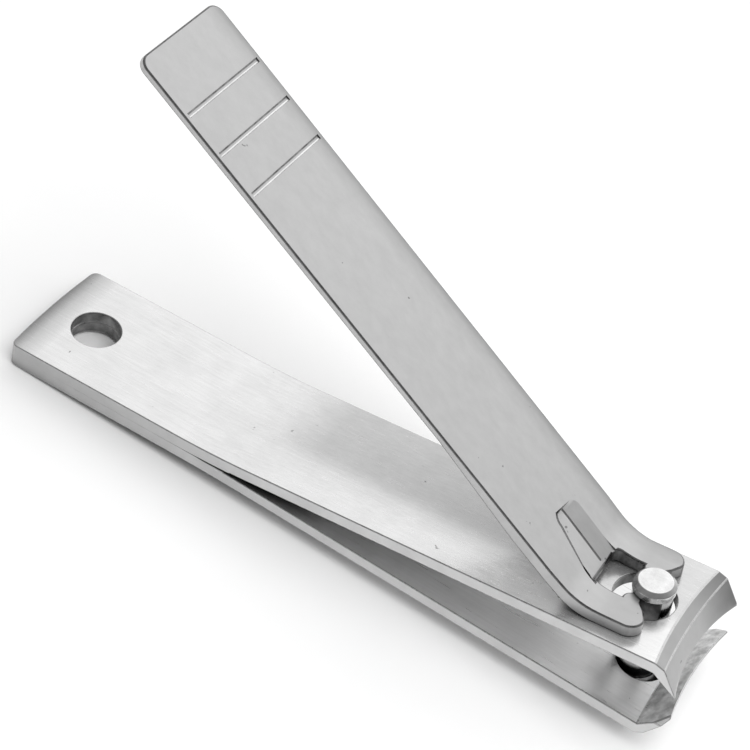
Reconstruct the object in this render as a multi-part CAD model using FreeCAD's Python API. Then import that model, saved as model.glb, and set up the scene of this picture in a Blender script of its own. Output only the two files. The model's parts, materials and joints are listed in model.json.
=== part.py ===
import FreeCAD, Part

import math
import os

from FreeCAD import Placement, Rotation, Vector

# A lever nail clipper: two stamped plates welded at the tail, a pin and a lever.
# Design frame: x forward from the tail end, y across, z up from the tail's underside.
# Deck frame: the upper arm's top face, origin at its bend, x along the arm, z square to it.
# Everything is in millimetres and degrees.

# Plates
WIDTH = 15.5
PLATE = 1.36
BEND_X = 25.46           # the bends are centred here, on both plates
BEND_RUN = 5.2           # length of a bend, each side of its centre
UPPER_RISE = 5.47        # the upper arm climbs by this angle
LOWER_FALL = 2.91        # the lower arm falls by this angle
SPLIT_GAP = 0.1          # the springy arm is modelled as a body of its own, this far from the tail
TAIL_BOW = 0.3
TAIL_CORNER = 0.9
TAIL_HOLE_X = 5.88
TAIL_HOLE_R = 2.7

# Jaws. A crease bows from its x at the plate's sides to its x at the middle. The first and last
# creases lie on the plate's own faces; those between have heights too.
JAW_START = 74.0
UPPER_INNER_BEND = (75.90, 75.40)
UPPER_CREASES = (
    ((78.85, 4.38), (77.60, 4.38)),   # cutting edge
    ((78.74, 4.77), (77.55, 4.77)),   # top of the sharpened band
    ((76.92, 7.24), (76.45, 7.13)),   # second bend
)
UPPER_FIRST_BEND = (75.80, 75.18)
LOWER_OUTER_BEND = (76.26, 75.95)
LOWER_CREASES = (
    ((77.23, -1.99), (76.80, -1.99)),  # second outer bend
    ((79.24, 1.03), (78.50, 1.03)),    # bottom of the sharpened band
    ((79.15, 1.42), (78.40, 1.42)),    # cutting edge
)
LOWER_INNER_BEND = (76.31, 75.95)
JAW_CORNER = (0.8, 1.3)  # the lower jaw's corners are cut back this far across and down

# Pin, on an axis square to the upper arm
PIN_X = 71.85            # where the axis crosses the upper arm's top face
SHAFT_R = 2.1
NECK_HALF = 1.45
NECK_DEPTH = 2.0         # the neck's flats reach this far below the upper arm's top face
HEAD_R = 2.22
HEAD_TOP_R = 1.81
HEAD_HEIGHT = 1.13
HEAD_CHAMFER = 0.4
UPPER_HOLE_X = 71.14
UPPER_HOLE_R = 3.25
LOWER_HOLE_R = 2.7
SEAT_R = 3.4             # ball of the foot, which seats in the lower hole's rim
FLANGE_R = 3.3
FOOT_DROP = 1.7          # the foot stands this far out of the lower plate
SEAT_CLEARANCE = 0.03

# Lever, in the deck frame; lengths along the blade start at the corner of its top faces
LEVER_LIFT = 0.03        # clearance under the nose
NOSE = 1.44              # thickness of the nose and of the blade's root
BLADE = 0.8              # thickness of the blade's outer part
BLADE_RISE = 37.85       # angle from the upper arm to the blade
BLADE_LENGTH = 67.13
TAPER = (9.3, 21.3)      # stretch where the blade thins
HEEL_R = 7.0
HEEL_X = 41.53           # corner of the top faces
BLADE_HALF = 6.65
BLADE_CORNER = 1.3
NOSE_HALF = 6.3
NOSE_NARROWS = (38.0, 43.4)
GROOVES = (50.7, 55.5, 60.2)
GROOVE_R = 0.35
GROOVE_DEPTH = 0.13
GROOVE_END = 0.5         # the grooves stop this far from the blade's sides

# Stamped wedge at the heel, from the slot up the blade; its floor is flat on the near side
# of a valley
WEDGE = (0.3, 7.9)       # start and end, from the corner of the lever's top faces
WEDGE_ROUND = 1.5        # length of its rounded end
WEDGE_NEAR = (-3.0, -1.45)
WEDGE_VALLEY = (0.34, 0.42)
WEDGE_FAR = (2.3, 2.5)
WEDGE_DEPTH = (0.5, 0.34)
WEDGE_WALL = 0.25        # width of its near wall
WEDGE_ROUND_STEPS = 5

HEAD_GAP = 0.04          # clearance between the nose and the pin's head

# Slot and prongs, from the pin's axis
SLOT_BACK = -5.55
SLOT_HALF = 2.7
SLOT_CORNER = 0.9
THROAT = ((-2.2, 2.7), (-1.15, 1.62), (-0.3, 2.6))
PRONG_FLARE = ((0.42, 3.4), (0.95, 4.3))
PRONG_TIP = (1.1, 4.7)
PRONG_CORNER = 1.6

# The lever rocks about this place under the pin's head as it is pressed
PRESS_OFFSET = -0.3      # from the pin's axis, along the deck


def at(x, z, y=0.0):
    return Vector(x, y, z)


def heading(degrees):
    """Unit vector in the side view, at an angle above +x."""
    return at(math.cos(math.radians(degrees)), math.sin(math.radians(degrees)))


def line(a, b):
    return Part.LineSegment(a, b).toShape()


def arc(a, middle, b):
    return Part.Arc(a, middle, b).toShape()


def path(points):
    """Straight edges through the points, in order."""
    return [line(a, b) for a, b in zip(points, points[1:])]


def extruded(edges, direction):
    """Solid swept from the flat face inside a closed ring of edges."""
    return Part.Face(Part.Wire(Part.__sortEdges__(edges))).extrude(direction)


def bend(corner, angle_in, angle_out, run):
    """Start, middle and end of the arc that rounds a corner, run long on each side."""
    half = math.radians(abs(angle_out - angle_in)) / 2
    radius = run / math.tan(half)
    inward = (heading(angle_out) - heading(angle_in)).normalize()
    start = corner - heading(angle_in) * run
    end = corner + heading(angle_out) * run
    return start, corner + inward * (radius / math.cos(half) - radius), end


def plan_prism():
    """Tall prism of the plates' outline seen from above, with the bowed tail end."""
    half = WIDTH / 2
    front = JAW_START + PLATE
    edges = [
        arc(Vector(TAIL_BOW, -half, 0), Vector(0, 0, 0), Vector(TAIL_BOW, half, 0)),
        *path([Vector(TAIL_BOW, half, 0), Vector(front, half, 0),
               Vector(front, -half, 0), Vector(TAIL_BOW, -half, 0)]),
    ]
    prism = extruded(edges, Vector(0, 0, WIDTH))
    corners = [edge for edge in prism.Edges
               if edge.BoundBox.ZLength > WIDTH / 2 and edge.BoundBox.XMax < front / 2]
    prism = prism.makeFillet(TAIL_CORNER, corners)
    prism.translate(Vector(0, 0, -WIDTH / 3))
    return prism


def arm_point(z_base, angle, x):
    """Point of a plate's underside on its arm, at x."""
    return at(x, z_base + (x - BEND_X) * math.tan(math.radians(angle)))


def plate_strip(z_base, angle):
    """A plate as far as its jaw: flat tail, gentle bend, straight arm."""
    start, middle, end = bend(at(BEND_X, z_base), 0.0, angle, BEND_RUN)
    front = arm_point(z_base, angle, JAW_START)
    thick = heading(90 + angle / 2) * (PLATE / math.cos(math.radians(angle / 2)))
    front_top = front + heading(90 + angle) * PLATE
    tail = at(0, z_base)
    tail_top = at(0, z_base + PLATE)
    edges = [
        line(tail, start), arc(start, middle, end), line(end, front),
        line(front, front_top), line(front_top, end + thick),
        arc(end + thick, middle + thick, start + thick),
        line(start + thick, tail_top), line(tail_top, tail),
    ]
    for edge in edges:
        edge.translate(Vector(0, -WIDTH / 2, 0))
    return extruded(edges, Vector(0, WIDTH, 0))


def crease(end, centre):
    """One crease across the jaw: straight, or an arc that bows at the centre."""
    near = at(*end, -WIDTH / 2)
    far = at(*end, WIDTH / 2)
    if end == centre:
        return line(near, far)
    return arc(near, at(*centre), far)


def curved_block(outline):
    """Solid between creases, whose flat ends lie on the plate's sides."""
    creases = [crease(end, centre) for end, centre in outline]
    faces = [Part.makeRuledSurface(a, b) for a, b in zip(creases, creases[1:] + creases[:1])]
    for y in (-WIDTH / 2, WIDTH / 2):
        corners = [at(*end, y) for end, centre in outline]
        faces.append(Part.Face(Part.makePolygon(corners + corners[:1])))
    shell = Part.makeShell(faces)
    shell.sewShape()
    block = Part.makeSolid(shell)
    if block.Volume < 0:
        block.reverse()
    return block


def jaw(z_base, angle, under_bend, creases, top_bend):
    """The bent and sharpened front of a plate."""
    z_top = z_base + PLATE / math.cos(math.radians(angle))
    bottom = arm_point(z_base, angle, JAW_START)
    top = bottom + heading(90 + angle) * PLATE
    root = [((p.x, p.z), (p.x, p.z)) for p in (bottom, top)]
    bends = []
    for z, places in ((z_base, under_bend), (z_top, top_bend)):
        points = [arm_point(z, angle, x) for x in places]
        bends.append(tuple((p.x, p.z) for p in points))
    return curved_block([root[0], bends[0], *creases, bends[1], root[1]])


def tail_hole():
    """Cutter for the hole through both plates at the tail."""
    return Part.makeCylinder(TAIL_HOLE_R, 4 * PLATE, at(TAIL_HOLE_X, -PLATE))


def jaw_corner_cutters():
    """Prisms that cut the lower jaw's front corners back."""
    across, down = JAW_CORNER
    tip_x, tip_z = LOWER_CREASES[-1][0]
    half = WIDTH / 2
    cutters = []
    for side in (-1, 1):
        corners = [
            Vector(tip_x - 4, side * (half - across), tip_z),
            Vector(tip_x - 4, side * (half - across), tip_z + 1),
            Vector(tip_x - 4, side * (half + 1), tip_z + 1),
            Vector(tip_x - 4, side * (half + 1), tip_z - down * (across + 1) / across),
        ]
        cutters.append(extruded(path(corners + corners[:1]), Vector(8, 0, 0)))
    return cutters


def on_pin_axis(height):
    """Point of the pin's axis in the design frame, from its height over the deck."""
    return DECK.multVec(Vector(PIN_U, 0, height))


def lower_normal():
    return heading(90 - LOWER_FALL)


def seat_height():
    """Height over the deck of the foot's ball centre, which sits below the lower hole's rim."""
    along = on_pin_axis(1) - on_pin_axis(0)
    depth = lower_normal().dot(on_pin_axis(0) - at(BEND_X, 0)) + RIM_TO_BALL
    return -depth / lower_normal().dot(along)


def lower_jaw():
    strip = plate_strip(0.0, -LOWER_FALL).common(plan_prism())
    front = jaw(0.0, -LOWER_FALL, LOWER_OUTER_BEND, LOWER_CREASES, LOWER_INNER_BEND)
    plate = strip.fuse(front).removeSplitter()
    rim = on_pin_axis(seat_height()) + lower_normal() * RIM_TO_BALL
    hole_start = rim - lower_normal() * PLATE
    pin_hole = Part.makeCylinder(LOWER_HOLE_R, 4 * PLATE, hole_start, lower_normal())
    return plate.cut([tail_hole(), pin_hole, *jaw_corner_cutters()])


def upper_plate():
    strip = plate_strip(PLATE, UPPER_RISE).common(plan_prism())
    front = jaw(PLATE, UPPER_RISE, UPPER_INNER_BEND, UPPER_CREASES, UPPER_FIRST_BEND)
    plate = strip.fuse(front).removeSplitter()
    hole_start = Vector(deck_u(UPPER_HOLE_X), 0, -2 * PLATE)
    pin_hole = Part.makeCylinder(UPPER_HOLE_R, 4 * PLATE, hole_start)
    pin_hole.Placement = DECK.multiply(pin_hole.Placement)
    return plate.cut([tail_hole(), pin_hole])


def split(plate):
    """The upper plate's welded tail and its springy arm, either side of the bend's centre."""
    size = 2 * JAW_START
    starts = (BEND_X - SPLIT_GAP / 2 - size, BEND_X + SPLIT_GAP / 2)
    return [plate.common(Part.makeBox(size, size, size, Vector(x, -size / 2, -size / 2)))
            for x in starts]


def pin():
    """Chamfered head, neck with two flats, round shaft and a domed foot, in the deck frame."""
    head_under = LEVER_LIFT + NOSE + HEAD_GAP
    ball = seat_height()
    foot_bottom = ball + RIM_TO_BALL - FOOT_DROP
    head_top = head_under + HEAD_HEIGHT
    outline = path([
        at(0, foot_bottom), at(SHAFT_R, foot_bottom),
        at(SHAFT_R, head_under), at(HEAD_R, head_under),
        at(HEAD_R, head_top - HEAD_CHAMFER), at(HEAD_TOP_R, head_top),
        at(0, head_top), at(0, foot_bottom),
    ])
    body = Part.Face(Part.Wire(outline)).revolve(Vector(0, 0, 0), Vector(0, 0, 1), 360)
    for side in (-1, 1):
        corner = Vector(-HEAD_R, NECK_HALF if side > 0 else -NECK_HALF - HEAD_R, -NECK_DEPTH)
        body = body.cut(Part.makeBox(2 * HEAD_R, HEAD_R, NECK_DEPTH + head_under, corner))
    dome = Part.makeSphere(SEAT_R - SEAT_CLEARANCE, Vector(0, 0, ball))
    flange = Part.makeCylinder(FLANGE_R, 2 * SEAT_R, Vector(0, 0, foot_bottom))
    body = body.fuse(dome.common(flange)).removeSplitter()
    body.translate(Vector(PIN_U, 0, 0))
    return body


def lever_side():
    """Lever as wide as its blade, from its side outline."""
    top_corner = at(HEEL_X, LEVER_LIFT + NOSE)
    back = 180 - BLADE_RISE
    run = HEEL_R * math.tan(math.radians(BLADE_RISE / 2))
    middle_normal = heading(90 - BLADE_RISE / 2)
    down = middle_normal * -(NOSE / math.cos(math.radians(BLADE_RISE / 2)))
    nose_arc = bend(top_corner, 180.0, back, run)
    blade = heading(back)
    under = heading(back + 90)
    thick_end, thin_start = TAPER
    front = at(PIN_U + PRONG_TIP[0] + 1, LEVER_LIFT + NOSE)
    tail = top_corner + blade * BLADE_LENGTH
    edges = [
        line(front, nose_arc[0]), arc(*nose_arc), line(nose_arc[2], tail),
        *path([tail, tail + under * BLADE, top_corner + blade * thin_start + under * BLADE,
               top_corner + blade * thick_end + under * NOSE, nose_arc[2] + down]),
        arc(nose_arc[2] + down, nose_arc[1] + down, nose_arc[0] + down),
        line(nose_arc[0] + down, front - at(0, NOSE)), line(front - at(0, NOSE), front),
    ]
    for edge in edges:
        edge.translate(Vector(0, -BLADE_HALF, 0))
    return extruded(edges, Vector(0, 2 * BLADE_HALF, 0))


def half_plan():
    """Prism over one half of the lever seen square to the deck, with the slot and one prong."""
    def plan(u, y):
        return Vector(PIN_U + u, y, 0)

    wide, narrow = (u - PIN_U for u in NOSE_NARROWS)
    far = -2 * BLADE_LENGTH
    tip_u, tip_y = PRONG_TIP
    turn = PRONG_CORNER * (1 - math.sqrt(0.5))
    slot_turn = SLOT_CORNER * (1 - math.sqrt(0.5))
    edges = [
        line(plan(SLOT_BACK, 0), plan(SLOT_BACK, SLOT_HALF - SLOT_CORNER)),
        arc(plan(SLOT_BACK, SLOT_HALF - SLOT_CORNER),
            plan(SLOT_BACK + slot_turn, SLOT_HALF - slot_turn),
            plan(SLOT_BACK + SLOT_CORNER, SLOT_HALF)),
        line(plan(SLOT_BACK + SLOT_CORNER, SLOT_HALF), plan(*THROAT[0])),
        arc(*[plan(*point) for point in THROAT]),
        *path([plan(*THROAT[2]), *[plan(*point) for point in PRONG_FLARE], plan(tip_u, tip_y)]),
        arc(plan(tip_u, tip_y), plan(tip_u - turn, NOSE_HALF - turn),
            plan(tip_u - PRONG_CORNER, NOSE_HALF)),
        *path([plan(tip_u - PRONG_CORNER, NOSE_HALF), plan(narrow, NOSE_HALF),
               plan(wide, BLADE_HALF), plan(far, BLADE_HALF), plan(far, 0), plan(SLOT_BACK, 0)]),
    ]
    prism = extruded(edges, Vector(0, 0, BLADE_LENGTH))
    prism.translate(Vector(0, 0, -NOSE))
    return prism


def grooves():
    """Cutters for the grip grooves across the blade."""
    back = 180 - BLADE_RISE
    half = BLADE_HALF - GROOVE_END
    cutters = []
    for distance in GROOVES:
        near_end = at(HEEL_X, LEVER_LIFT + NOSE, -half) + heading(back) * distance
        near_end -= heading(back + 90) * (GROOVE_R - GROOVE_DEPTH)
        cutters.append(Part.makeCylinder(GROOVE_R, 2 * half, near_end, Vector(0, 1, 0)))
    return cutters


def wedge_section(distance, narrowing):
    """Closed outline of the wedge's cutter across the blade, at a distance up the blade."""
    start, end = WEDGE
    share = (distance - start) / (end - WEDGE_ROUND - start)

    def between(ends):
        return ends[0] + (ends[1] - ends[0]) * min(share, 1)

    valley = between(WEDGE_VALLEY) * narrowing
    near = between(WEDGE_NEAR) * narrowing
    far = between(WEDGE_FAR) * narrowing
    depth = between(WEDGE_DEPTH) * narrowing
    wall = WEDGE_WALL * narrowing
    outline = [
        (near, NOSE), (near, 0), (near + wall, -0.8 * depth),
        (valley, -depth), (far, 0), (far, NOSE),
    ]
    back = 180 - BLADE_RISE
    base = at(HEEL_X, LEVER_LIFT + NOSE) + heading(back) * distance
    points = [base + Vector(0, y, 0) - heading(back + 90) * height for y, height in outline]
    return Part.makePolygon(points + points[:1])


def wedge():
    """Cutter for the stamped wedge."""
    start, end = WEDGE
    sections = [wedge_section(start, 1)]
    for step in range(WEDGE_ROUND_STEPS):
        share = step / WEDGE_ROUND_STEPS
        sections.append(wedge_section(end - WEDGE_ROUND * (1 - share), math.sqrt(1 - share ** 2)))
    return Part.makeLoft(sections, True, True)


def lever():
    half = half_plan()
    plan = half.fuse(half.mirror(Vector(0, 0, 0), Vector(0, 1, 0))).removeSplitter()
    blank = lever_side().common(plan).removeSplitter()
    blade = heading(180 - BLADE_RISE)
    tail_far = at(HEEL_X, LEVER_LIFT + NOSE).dot(blade) + BLADE_LENGTH
    corners = [edge for edge in blank.Edges
               if min(v.Point.dot(blade) for v in edge.Vertexes) > tail_far - 0.01
               and edge.BoundBox.YLength < 0.01]
    return blank.makeFillet(BLADE_CORNER, corners).cut([wedge(), *grooves()])


def placed(shape, placement):
    """Copy of a shape carried by a placement."""
    moved = shape.copy()
    moved.Placement = placement.multiply(moved.Placement)
    return moved


def standing():
    """Placement that stands the clipper on its tail edge and its foot."""
    foot_bottom = seat_height() + RIM_TO_BALL - FOOT_DROP
    heel = DECK.multVec(Vector(PIN_U - FLANGE_R, 0, foot_bottom))
    lift = math.degrees(math.atan2(-heel.z, heel.x))
    return Placement(Vector(0, 0, 0), Rotation(Vector(0, -1, 0), lift))


def deck_u(x):
    """Distance along the deck of the point over x in the design frame."""
    return (x - BEND_X) / math.cos(math.radians(UPPER_RISE))


def seat_box(shapes):
    """Placement that brings the bottom centre of the whole clipper's box to the origin."""
    whole = Part.makeCompound(shapes).optimalBoundingBox(False, False)
    return Placement(Vector(-whole.Center.x, -whole.Center.y, -whole.ZMin), Rotation())


RIM_TO_BALL = math.sqrt(SEAT_R ** 2 - LOWER_HOLE_R ** 2)
DECK = Placement(at(BEND_X, 2 * PLATE), Rotation(Vector(0, -1, 0), UPPER_RISE))
PIN_U = deck_u(PIN_X)


def main():
    upper_tail, upper_arm = split(upper_plate())
    nodes = {
        "lower_jaw": lower_jaw(),
        "upper_jaw_tail": upper_tail,
        "upper_jaw": upper_arm,
        "pin": placed(pin(), DECK),
        "lever": placed(lever(), DECK),
    }
    stand = standing()
    nodes = {name: placed(shape, stand) for name, shape in nodes.items()}
    seat = seat_box(list(nodes.values()))
    os.makedirs("parts", exist_ok=True)
    for name, shape in nodes.items():
        placed(shape, seat).exportStep(f"parts/{name}.step")
    row = seat.multiply(stand)
    head_under = LEVER_LIFT + NOSE + HEAD_GAP
    places = {
        "jaw_flex": at(BEND_X, 1.5 * PLATE),
        "pin_swivel": on_pin_axis(0),
        "lever_press": DECK.multVec(Vector(PIN_U + PRESS_OFFSET, 0, head_under)),
        "lanyard_hole": at(TAIL_HOLE_X, PLATE),
        "base_face": at(BEND_X / 2, 0),
    }
    for name, point in places.items():
        print(name, [round(value / 1000, 6) for value in row.multVec(point)])
    print("tail normal", [round(value, 6) for value in row.Rotation.multVec(Vector(0, 0, 1))])
    deck_turn = row.Rotation.multiply(DECK.Rotation)
    print("pin axis", [round(value, 6) for value in deck_turn.multVec(Vector(0, 0, 1))])


main()
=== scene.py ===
import json
import math

import bmesh
import bpy
from mathutils import Matrix, Vector


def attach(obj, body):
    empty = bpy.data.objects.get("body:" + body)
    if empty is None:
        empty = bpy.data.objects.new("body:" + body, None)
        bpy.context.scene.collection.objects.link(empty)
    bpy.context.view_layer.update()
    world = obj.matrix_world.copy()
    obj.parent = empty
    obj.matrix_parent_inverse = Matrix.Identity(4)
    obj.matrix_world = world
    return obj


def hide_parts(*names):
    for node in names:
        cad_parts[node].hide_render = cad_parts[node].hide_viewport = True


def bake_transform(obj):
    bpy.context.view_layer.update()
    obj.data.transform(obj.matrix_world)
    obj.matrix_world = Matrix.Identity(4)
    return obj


MM = 0.001

# Camera, in the rest pose's frame
AZIMUTH = -17.26         # degrees from +Y towards +X that the camera looks
ELEVATION = 43.11        # degrees that it looks down
ROLL = 18.92
LENS = 117.0
DISTANCE = 239.85 * MM
AIM = Vector((-1.97, -1.98, 20.61)) * MM

# Edges
WELD = 0.002 * MM        # vertices closer than this are one
FLAT = math.radians(0.6)     # faces that turn less than this are one face
CREASE = math.radians(20)    # edges that turn more than this are rounded
ROUNDED = 9              # marks the faces made by rounding
ROUND_STEPS = 3
FLATS_WEIGHT = 90        # how much the large faces set the shading at their edges
PLATE_ROUND = 0.12 * MM
LEVER_ROUND = 0.18 * MM
VALLEY_ROUND = 0.14 * MM
PIN_ROUND = 0.07 * MM
CRISP = math.radians(5)      # crisply shaded edges and the wedge's valley turn more than this

WELD_END = 3 * MM        # the weld's ground seam ends this far ahead of the flex axis
SEAM_REACH = 0.5 * MM    # and it is this high to each side

# The springy plate is one strip, so its two CAD halves are joined, and it is cut across between
# these places
SPLIT_REACH = 0.13 * MM
BEND_START = 5.2 * MM    # behind the flex axis
BEND_END = 5.2 * MM      # ahead of it
BEND_CUTS = 12

# Where a piece's materials change
SIDE_FACING = 0.9        # faces that look this much across a strip are its sheared sides
JAW_FROM = 35 * MM       # jaw faces are ahead of this
JAW_BACK = -0.3          # how far forward the jaws' back faces look, at most
JAW_FRONT = 0.05         # and their front faces, at least
WALL_FACING = 0.5        # hole and slot walls, which are painted shade, look less than this up
HOLE_REACH = 3.5 * MM    # and lie this close to the middle of the plate or the hole
TAIL_END = -38.5 * MM    # the tail's end face is behind this
# Boxes, as their low and high corners
GROOVES = ((-31 * MM, -6.3 * MM, 35 * MM), (-14 * MM, 6.3 * MM, 42.5 * MM))
WEDGE_RIM = ((19 * MM, 1.95 * MM, 12 * MM), (26.33 * MM, 3.2 * MM, 17 * MM))
WEDGE_VALLEY = ((19 * MM, 0.2 * MM, 12 * MM), (25.7 * MM, 0.6 * MM, 17 * MM))
SLOT = ((19 * MM, -3.5 * MM, 10 * MM), (32.6 * MM, 3.5 * MM, 17 * MM))
WEDGE_CUT = Vector((25.6 * MM, 0, 0))    # the valley is rounded up to here
BLADE_DROP = math.radians(28.75)     # how steeply the lever's blade goes down to its heel
GROOVE_WALL = (0.3, 0.9)     # how much the grooves' walls look along the blade; the rear walls are painted shade, the front ones a painted highlight
NECK = (-2.0 * MM, 1.45 * MM)    # along the pin from its swivel, where its neck lies, painted as shade
CHAMFER = (0.3, 0.95)        # how much the chamfer of its head looks along it; the chamfer is painted shade

# Steel is painted darker deep in corners as shade, and the upper plate under the lever as its shadow
OPENNESS_SAMPLES = 8
CREVICE_REACH = 2.2 * MM
CREVICE_TONES = ((0.3, 0.12), (0.8, 1.0))
PLATE_CREVICE_TONES = ((0.1, 0.15), (0.5, 1.0))
LEVER_SHADOW_REACH = 25 * MM
LEVER_SHADOW_DEPTHS = ((0.4, 1.0), (0.96, 0.0))
LEVER_SHADOW_TONES = ((0.0, 1.0), (1.0, 0.62))
LEVER_SHADOW_STRETCHES = (("X", 27 * MM, 22 * MM), ("Y", -5 * MM, -1.5 * MM))

# Materials by the index that a piece's faces take
# on the plates, the darkest steel is painted shade on the hole walls
PLATE_STEELS = ("plate_side", "jaw_back", "jaw_front", "painted_shade_steel", "plate_edge")
# on the lever, the darkest steel is painted shade, and the pin's steel a painted highlight on groove
# walls
LEVER_STEELS = ("lever_steel", "lever_side", "painted_shade_steel", "lever_edge", "pin_steel")
# on the pin, the darkest steel is painted shade on its neck
PIN_STEELS = ("pin_steel", "painted_shade_steel", "pin_chamfer_shade")

# Darker places, mostly painted shade: stretches along the axes that they lie in, and their tones
# painted shade towards the tail's end
TAIL_TIP_SHADE = ((("X", -39.6 * MM, -36.0 * MM),), ((0.0, 0.2), (0.45, 0.7), (1.0, 1.0)))
# the sheared sides are darker towards the tail's end
DARKER_TAIL_SIDE = ((("X", -39.5 * MM, -8 * MM),), ((0.0, 0.72), (1.0, 1.0)))
# painted shade on the far half of the upper plate, under the lever and ahead of it
PLATE_SHADE_PATCH = ((("X", -10.5 * MM, -5.5 * MM), ("Y", -2.8 * MM, -0.6 * MM)), ((0.0, 1.0), (1.0, 0.78)))
# painted shade towards the lever's far edge
LEVER_EDGE_SHADE = ((("Y", 4.2 * MM, 6.65 * MM),), ((0.0, 1.0), (0.6, 0.88), (1.0, 0.6)))
# painted shade towards the far end of the jaws' front faces
JAW_END_SHADE = ((("Y", 1.0 * MM, 7.75 * MM),), ((0.0, 1.0), (1.0, 0.55)))

# Grain of the steel, as its squeeze along each axis and its scale
BRUSHED = ((1, 22, 22), 160)
STAMPED = ((1, 2, 2), 420)
SHEARED = ((1, 6, 1), 300)
SHARPENED = ((1, 1, 1), 400)
MOTTLED = ((1, 1, 1), 600)
FINE = ((1, 1, 1), 700)
GRAIN_TONES = ((0.3, 0.9), (0.7, 1.0))
GRAIN_ENDS = (0.25, 0.75)    # grain values where the smoothest and the roughest stretches start
GRAIN_BUMP = 0.25
GRAIN_HEIGHT = 0.02 * MM
CLOUDS = (0.3, 0.7)          # noise values where the dullest and the brightest clouds start
SPECK_SCALE = 900
SPECK_TONES = ((0.235, 0.45), (0.26, 1.0))

# Edges painted as shade and highlight: tones by how much they look across the clipper, or by their
# wear
PLATE_EDGE_TONES = ((0.1, 0.66), (0.3, 0.42))
LEVER_EDGE_TONES = ((0.3, 0.14), (0.7, 0.22))
WEAR_SCALE = 900
WEAR_TONES = ((0.25, 0.8), (0.6, 1.0))
WEAR_ROUGHNESS = ((0.3, 0.22), (0.7, 0.35))

# Surroundings, in metres
FLOOR_SIZE = 2.4
FLOOR_TONES = ((0.3, 0.93), (0.7, 0.95))
KEY_PLACE = (0.2, -0.1, 0.6)
KEY_AIM = (0, 0, 0.01)
KEY_SIZE = 0.6
KEY_POWER = 3.4
BRIGHT_SIDE = (0.05, 0.9, 0.4)
# Grey of the sky by how much it lies towards the bright side
SKY = ((-1.0, 0.3), (-0.3, 0.3), (0.3, 0.36), (0.7, 0.52), (0.84, 0.74), (0.94, 1.0))
SKY_STRENGTH = 1.25

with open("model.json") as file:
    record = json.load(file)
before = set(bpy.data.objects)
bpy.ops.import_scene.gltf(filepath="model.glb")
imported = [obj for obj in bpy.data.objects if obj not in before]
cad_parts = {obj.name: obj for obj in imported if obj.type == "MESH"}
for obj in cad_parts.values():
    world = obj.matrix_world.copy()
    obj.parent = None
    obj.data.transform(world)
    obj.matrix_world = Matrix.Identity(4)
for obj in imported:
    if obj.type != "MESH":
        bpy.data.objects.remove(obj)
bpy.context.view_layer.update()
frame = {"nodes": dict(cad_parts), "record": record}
joints = {joint["name"]: joint for joint in frame["record"]["behaviour"]["joints"]}
flex_at = Vector(joints["jaw_flex"]["pos_m"])
pin_at = Vector(joints["pin_swivel"]["pos_m"])
pin_axis = Vector(joints["pin_swivel"]["axis"])
seam = next(mount for mount in frame["record"]["mounts"] if mount["name"] == "lanyard_hole")
seam_at = Vector(seam["pos_m"])
seam_normal = Vector(seam["axis"])
blade_ahead = Vector((math.cos(BLADE_DROP), 0, -math.sin(BLADE_DROP)))
made = {}                # the clipper's materials by name


# Pieces

def copied(*nodes):
    """New mesh from CAD nodes."""
    shape = bmesh.new()
    for node in nodes:
        shape.from_mesh(frame["nodes"][node].data)
    bmesh.ops.remove_doubles(shape, verts=shape.verts, dist=WELD)
    return shape


def flattened(shape):
    """Makes the flat faces whole again."""
    bmesh.ops.dissolve_limit(shape, angle_limit=FLAT, verts=shape.verts, edges=shape.edges)
    bmesh.ops.recalc_face_normals(shape, faces=shape.faces)


def joined_halves(shape):
    """Closes the gap between the springy plate's two halves."""
    ends = [face for face in shape.faces
            if all(abs(v.co.x - flex_at.x) < SPLIT_REACH for v in face.verts)]
    bmesh.ops.delete(shape, geom=ends, context="FACES_ONLY")
    rim = [v for v in shape.verts if abs(v.co.x - flex_at.x) < SPLIT_REACH]
    bmesh.ops.remove_doubles(shape, verts=rim, dist=SPLIT_REACH)


def cut_across_bend(shape):
    """Cuts the springy plate across at even steps where it bends."""
    for step in range(BEND_CUTS + 1):
        reach = (BEND_START + BEND_END) * step / BEND_CUTS - BEND_START
        whole = shape.verts[:] + shape.edges[:] + shape.faces[:]
        bmesh.ops.bisect_plane(shape, geom=whole, plane_co=flex_at + Vector((reach, 0, 0)),
                               plane_no=(1, 0, 0))


def in_weld(place):
    """Whether a place is on the outer seam between the two tails, which is ground away."""
    away = place - seam_at
    return (place.x < flex_at.x + WELD_END and abs(away.dot(seam_normal)) < SEAM_REACH
            and away.length > HOLE_REACH)


def inside(place, box):
    """Whether a place is in a box."""
    low, high = box
    return all(a < value < b for a, value, b in zip(low, place, high))


def on_stamping(place):
    """Whether a place is on the lever's grooves or its wedge's far rim."""
    return inside(place, GROOVES) or inside(place, WEDGE_RIM)


def nowhere(place):
    return False


def middle(edge):
    return (edge.verts[0].co + edge.verts[1].co) / 2


def creases(shape, sharp=nowhere):
    """Edges that turn enough to be rounded, except where sharp says so."""
    return [edge for edge in shape.edges
            if edge.calc_face_angle(0) > CREASE and not sharp(middle(edge))]


def rounded(shape, edges, width):
    """Rounds the edges, with flat shading on the new faces only."""
    bevel = bmesh.ops.bevel(shape, geom=edges, offset=width, offset_type="OFFSET", affect="EDGES",
                            segments=ROUND_STEPS, profile=0.5, clamp_overlap=False, loop_slide=False,
                            material=ROUNDED)
    for face in bevel["faces"]:
        face.smooth = False


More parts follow.
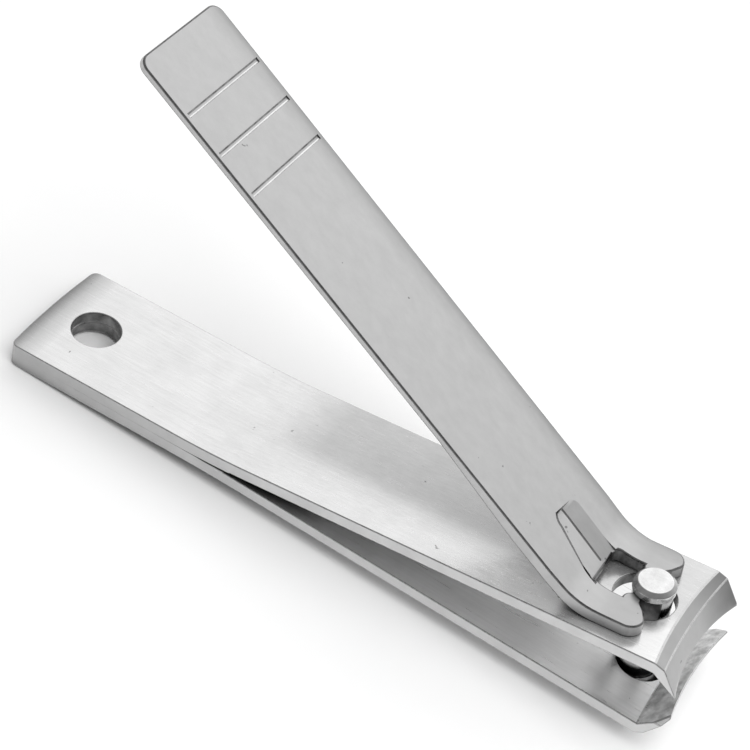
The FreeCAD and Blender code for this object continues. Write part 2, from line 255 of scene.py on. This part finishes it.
def rounded_valley(shape):
    """Rounds the wedge's valley, but stops short of the slot."""
    floors = [face for face in shape.faces if inside(face.calc_center_median(), SLOT)]
    whole = floors + [part for face in floors for part in (*face.edges, *face.verts)]
    bmesh.ops.bisect_plane(shape, geom=list(set(whole)), plane_co=WEDGE_CUT, plane_no=(1, 0, 0))
    valley = [edge for edge in shape.edges if edge.calc_face_angle(0) > CRISP
              and all(inside(v.co, WEDGE_VALLEY) for v in edge.verts)]
    rounded(shape, valley, VALLEY_ROUND)


def kept_crisp(shape, where):
    """Shades the unrounded edges of a place crisply."""
    for edge in shape.edges:
        if edge.calc_face_angle(0) > CRISP and where(middle(edge)):
            edge.smooth = False


def smoothed(shape):
    for face in shape.faces:
        face.smooth = True


def triangulated(shape):
    """Splits the many-sided flats, which would shade unevenly."""
    bmesh.ops.triangulate(shape, faces=[face for face in shape.faces if len(face.verts) > 4])


# Each of these says which of its piece's materials a face takes

def plate_place(face):
    """0 the plate, 1 sheared sides, 2 jaw back, 3 jaw front, 4 painted hole shade, 5 painted edge
    shade.
    """
    ahead = face.center.x > JAW_FROM
    if face.material_index == ROUNDED:
        return 5
    if abs(face.normal.y) > SIDE_FACING and abs(face.center.y) > HOLE_REACH:
        return 1
    if ahead and face.normal.x < JAW_BACK:
        return 2
    if ahead and face.normal.x > JAW_FRONT:
        return 3
    near_hole = TAIL_END < face.center.x and abs(face.center.y) < HOLE_REACH
    return 4 if near_hole and abs(face.normal.z) < WALL_FACING else 0


def lever_place(face):
    """0 the lever, 1 its sheared sides, 2 painted shade on its slot's walls and grooves' rear walls,
    3 painted edge shade, 4 a painted highlight on the grooves' front walls."""
    if face.material_index == ROUNDED:
        return 3
    if inside(face.center, SLOT) and abs(face.normal.z) < WALL_FACING:
        return 2
    if inside(face.center, GROOVES):
        turned = face.normal.dot(blade_ahead)
        if not GROOVE_WALL[0] < abs(turned) < GROOVE_WALL[1]:
            return 0
        return 2 if turned > 0 else 4
    return 1 if abs(face.normal.y) > SIDE_FACING else 0


def pin_place(face):
    """0 the pin's head, shaft and foot, 1 its neck and 2 its head's chamfer, both painted shade."""
    height = (face.center - pin_at).dot(pin_axis)
    if height > NECK[1]:
        return 2 if CHAMFER[0] < face.normal.dot(pin_axis) < CHAMFER[1] else 0
    return 1 if height > NECK[0] else 0


def piece(name, shape, materials, place, body, nodes):
    """Object from a finished shape and its materials' names, in place of its CAD nodes."""
    mesh = bpy.data.meshes.new(name)
    shape.to_mesh(mesh)
    shape.free()
    for material in materials:
        mesh.materials.append(made[material])
    for face in mesh.polygons:
        face.material_index = place(face)
    obj = bpy.data.objects.new(name, mesh)
    bpy.context.collection.objects.link(obj)
    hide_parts(*nodes)
    if body:
        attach(obj, body)
    flats = obj.modifiers.new("flats", "WEIGHTED_NORMAL")
    flats.weight = FLATS_WEIGHT
    flats.keep_sharp = True
    return obj


# Materials

class Nodes:
    """Short names for adding shader nodes to one material."""

    def __init__(self, name):
        self.material = bpy.data.materials.new(name)
        self.material.use_nodes = True
        self.tree = self.material.node_tree
        self.shader = self.tree.nodes["Principled BSDF"]

    def add(self, kind, **settings):
        node = self.tree.nodes.new(kind)
        for key, value in settings.items():
            setattr(node, key, value)
        return node

    def join(self, source, target):
        self.tree.links.new(source, target)

    def noise(self, squeeze, scale, detail=4.0, roughness=0.6):
        """Noise in object space, squeezed along each axis."""
        place = self.add("ShaderNodeTexCoord")
        mapping = self.add("ShaderNodeMapping")
        mapping.inputs["Scale"].default_value = squeeze
        texture = self.add("ShaderNodeTexNoise")
        texture.inputs["Scale"].default_value = scale
        texture.inputs["Detail"].default_value = detail
        texture.inputs["Roughness"].default_value = roughness
        self.join(place.outputs["Object"], mapping.inputs["Vector"])
        self.join(mapping.outputs["Vector"], texture.inputs["Vector"])
        return texture.outputs["Fac"]

    def ramp(self, value, stops):
        """Colour ramp over a value, from (place, grey) stops."""
        ramp = self.add("ShaderNodeValToRGB")
        elements = ramp.color_ramp.elements
        while len(elements) < len(stops):
            elements.new(0.5)
        for element, (place, grey) in zip(elements, stops):
            element.position = place
            element.color = (grey, grey, grey, 1)
        self.join(value, ramp.inputs["Fac"])
        return ramp.outputs["Color"]

    def multiply(self, a, b):
        mix = self.add("ShaderNodeMix", data_type="RGBA", blend_type="MULTIPLY")
        mix.inputs["Factor"].default_value = 1.0
        self.join(a, mix.inputs["A"])
        self.join(b, mix.inputs["B"])
        return mix.outputs["Result"]

    def across(self):
        """How much the face looks across the clipper, 0 to 1."""
        geometry = self.add("ShaderNodeNewGeometry")
        parts = self.add("ShaderNodeSeparateXYZ")
        size = self.add("ShaderNodeMath", operation="ABSOLUTE")
        self.join(geometry.outputs["True Normal"], parts.inputs["Vector"])
        self.join(parts.outputs["Y"], size.inputs[0])
        return size.outputs["Value"]

    def openness(self, reach):
        """How open the surface is within reach: 0 deep in a corner, 1 in the clear."""
        corners = self.add("ShaderNodeAmbientOcclusion")
        corners.samples = OPENNESS_SAMPLES
        corners.inputs["Distance"].default_value = reach
        return corners.outputs["AO"]

    def along(self, axis, start, end):
        """Share of the way from start to end along an axis."""
        place = self.add("ShaderNodeTexCoord")
        parts = self.add("ShaderNodeSeparateXYZ")
        share = self.add("ShaderNodeMapRange")
        share.inputs["From Min"].default_value = start
        share.inputs["From Max"].default_value = end
        self.join(place.outputs["Object"], parts.inputs["Vector"])
        self.join(parts.outputs[axis], share.inputs["Value"])
        return share.outputs["Result"]

    def within(self, stretches):
        """How far a place is into all of the stretches, 0 to 1."""
        share, *others = [self.along(*stretch) for stretch in stretches]
        for other in others:
            share = self.multiply(share, other)
        return share

    def bump(self, height, strength, distance):
        bump = self.add("ShaderNodeBump")
        bump.inputs["Strength"].default_value = strength
        bump.inputs["Distance"].default_value = distance
        self.join(height, bump.inputs["Height"])
        self.join(bump.outputs["Normal"], self.shader.inputs["Normal"])


def steel(name, colour, metallic, roughness, grain_kind, cloud_scale=260, darkened=(), shaded_by_lever=False):
    """Steel with a grain, clouds and a few dark specks, and painted shade deep in corners. It can
    be darker along given stretches, and carry a painted shadow where the lever hangs over it."""
    n = Nodes(name)
    grain = n.noise(*grain_kind)
    clouds = n.noise((1, 1, 1), cloud_scale)
    specks = n.noise((1, 1, 1), SPECK_SCALE, detail=2.0)
    tone = n.ramp(clouds, tuple(zip(CLOUDS, colour)))
    tone = n.multiply(tone, n.ramp(grain, GRAIN_TONES))
    tone = n.multiply(tone, n.ramp(specks, SPECK_TONES))
    # painted shade deep in corners
    crevice_tones = PLATE_CREVICE_TONES if shaded_by_lever else CREVICE_TONES
    tone = n.multiply(tone, n.ramp(n.openness(CREVICE_REACH), crevice_tones))
    # painted shadow of the lever over the upper plate
    if shaded_by_lever:
        depth = n.multiply(n.ramp(n.openness(LEVER_SHADOW_REACH), LEVER_SHADOW_DEPTHS), n.within(LEVER_SHADOW_STRETCHES))
        tone = n.multiply(tone, n.ramp(depth, LEVER_SHADOW_TONES))
    # darker stretches, mostly painted shade
    for stretches, tones in darkened:
        tone = n.multiply(tone, n.ramp(n.within(stretches), tones))
    n.join(tone, n.shader.inputs["Base Color"])
    n.shader.inputs["Metallic"].default_value = metallic
    n.join(n.ramp(grain, tuple(zip(GRAIN_ENDS, roughness))), n.shader.inputs["Roughness"])
    n.bump(grain, GRAIN_BUMP, GRAIN_HEIGHT)
    made[name] = n.material


def edge_steel(name, facing_highlight):
    """Edges painted dark as shade, varied by wear; optionally creases across the clipper painted
    lighter.
    """
    n = Nodes(name)
    wear = n.noise((1, 1, 1), WEAR_SCALE)
    if facing_highlight:
        tone = n.ramp(n.across(), PLATE_EDGE_TONES)
    else:
        tone = n.ramp(wear, LEVER_EDGE_TONES)
    tone = n.multiply(tone, n.ramp(wear, WEAR_TONES))
    n.join(tone, n.shader.inputs["Base Color"])
    n.shader.inputs["Metallic"].default_value = 1.0
    n.join(n.ramp(wear, WEAR_ROUGHNESS), n.shader.inputs["Roughness"])
    made[name] = n.material


def steels():
    """The clipper's materials."""
    steel("upper_steel", (0.9, 0.98), 0.82, (0.15, 0.3), BRUSHED, darkened=(TAIL_TIP_SHADE, PLATE_SHADE_PATCH),
          shaded_by_lever=True)
    steel("lower_steel", (0.9, 0.98), 0.9, (0.25, 0.4), BRUSHED, darkened=(TAIL_TIP_SHADE,))
    steel("lever_steel", (0.55, 0.57), 0.9, (0.28, 0.36), STAMPED, darkened=(LEVER_EDGE_SHADE,))
    steel("plate_side", (0.6, 0.68), 0.9, (0.3, 0.45), SHEARED, darkened=(DARKER_TAIL_SIDE,))
    steel("lever_side", (0.46, 0.54), 0.9, (0.3, 0.45), SHEARED)
    steel("jaw_back", (0.45, 1.0), 0.8, (0.4, 0.6), FINE, cloud_scale=800)
    steel("jaw_front", (0.4, 0.45), 0.9, (0.3, 0.42), SHARPENED, darkened=(JAW_END_SHADE,))
    # painted shade on hole, slot and groove walls and on the pin's neck
    steel("painted_shade_steel", (0.12, 0.4), 0.9, (0.3, 0.5), MOTTLED, cloud_scale=900)
    # the pin's own steel, also a painted highlight on the grooves' front walls
    steel("pin_steel", (0.8, 0.95), 1.0, (0.12, 0.25), FINE, cloud_scale=700)
    # painted shade on the pin's head chamfer
    steel("pin_chamfer_shade", (0.4, 0.56), 1.0, (0.1, 0.2), FINE, cloud_scale=900)
    edge_steel("plate_edge", True)
    edge_steel("lever_edge", False)


# The clipper's pieces

def lower_plate():
    shape = copied("lower_jaw")
    flattened(shape)
    smoothed(shape)
    rounded(shape, creases(shape, sharp=in_weld), PLATE_ROUND)
    kept_crisp(shape, in_weld)
    triangulated(shape)
    piece("lower_plate", shape, ["lower_steel", *PLATE_STEELS], plate_place, "lower_plate",
          ["lower_jaw"])


def upper_plate():
    """The springy plate, whose two CAD halves are joined where the real plate bends."""
    shape = copied("upper_jaw_tail", "upper_jaw")
    joined_halves(shape)
    flattened(shape)
    cut_across_bend(shape)
    smoothed(shape)
    rounded(shape, creases(shape, sharp=in_weld), PLATE_ROUND)
    kept_crisp(shape, in_weld)
    triangulated(shape)
    upper = piece("upper_plate", shape, ["upper_steel", *PLATE_STEELS], plate_place, None,
                  ["upper_jaw_tail", "upper_jaw"])
    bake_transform(upper)


def lever():
    shape = copied("lever")
    flattened(shape)
    smoothed(shape)
    rounded_valley(shape)
    rounded(shape, creases(shape, sharp=on_stamping), LEVER_ROUND)
    kept_crisp(shape, on_stamping)
    triangulated(shape)
    piece("lever_strip", shape, LEVER_STEELS, lever_place, "lever", ["lever"])


def pin():
    shape = copied("pin")
    flattened(shape)
    smoothed(shape)
    rounded(shape, creases(shape), PIN_ROUND)
    triangulated(shape)
    piece("headed_pin", shape, PIN_STEELS, pin_place, "pin", ["pin"])


# Setting

def camera():
    """Camera that looks at the clipper from above its near side."""
    azimuth = math.radians(AZIMUTH)
    elevation = math.radians(ELEVATION)
    look = Vector((math.sin(azimuth) * math.cos(elevation),
                   math.cos(azimuth) * math.cos(elevation), -math.sin(elevation)))
    data = bpy.data.cameras.new("camera")
    data.lens = LENS
    data.sensor_width = 36.0
    data.clip_start = 0.01
    view = bpy.data.objects.new("camera", data)
    turn = look.to_track_quat("-Z", "Y").to_matrix() @ Matrix.Rotation(math.radians(ROLL), 3, "Z")
    view.matrix_world = Matrix.Translation(AIM - look * DISTANCE) @ turn.to_4x4()
    bpy.context.collection.objects.link(view)
    bpy.context.scene.camera = view


def floor():
    bpy.ops.mesh.primitive_plane_add(size=FLOOR_SIZE)
    plane = bpy.context.object
    plane.name = "floor"
    n = Nodes("floor")
    n.join(n.ramp(n.noise((1, 1, 1), 40), FLOOR_TONES), n.shader.inputs["Base Color"])
    n.shader.inputs["Roughness"].default_value = 0.9
    plane.data.materials.append(n.material)


def area_light(name, place, aim, size, power):
    """Soft square light that faces aim and that the steel doesn't mirror."""
    data = bpy.data.lights.new(name, "AREA")
    data.size = size
    data.energy = power
    lamp = bpy.data.objects.new(name, data)
    lamp.visible_glossy = False
    lamp.location = place
    lamp.rotation_euler = (Vector(aim) - Vector(place)).to_track_quat("-Z", "Y").to_euler()
    bpy.context.collection.objects.link(lamp)


def sky():
    """Studio surroundings: bright on the far side, falling off smoothly to grey on the near one."""
    world = bpy.data.worlds.new("world")
    world.use_nodes = True
    tree = world.node_tree
    place = tree.nodes.new("ShaderNodeTexCoord")
    toward = tree.nodes.new("ShaderNodeVectorMath")
    toward.operation = "DOT_PRODUCT"
    toward.inputs[1].default_value = Vector(BRIGHT_SIDE).normalized()
    share = tree.nodes.new("ShaderNodeMapRange")
    share.inputs["From Min"].default_value = -1
    ramp = tree.nodes.new("ShaderNodeValToRGB")
    ramp.color_ramp.interpolation = "EASE"
    elements = ramp.color_ramp.elements
    while len(elements) < len(SKY):
        elements.new(0.5)
    for element, (turned, grey) in zip(elements, SKY):
        element.position = (turned + 1) / 2
        element.color = (grey, grey, grey, 1)
    tree.links.new(place.outputs["Generated"], toward.inputs[0])
    tree.links.new(toward.outputs["Value"], share.inputs["Value"])
    tree.links.new(share.outputs["Result"], ramp.inputs["Fac"])
    tree.links.new(ramp.outputs["Color"], tree.nodes["Background"].inputs["Color"])
    tree.nodes["Background"].inputs["Strength"].default_value = SKY_STRENGTH
    bpy.context.scene.world = world


def lights():
    sky()
    area_light("key", KEY_PLACE, KEY_AIM, KEY_SIZE, KEY_POWER)
    bpy.context.scene.view_settings.view_transform = "Standard"


steels()
lower_plate()
upper_plate()
lever()
pin()
camera()
floor()
lights()
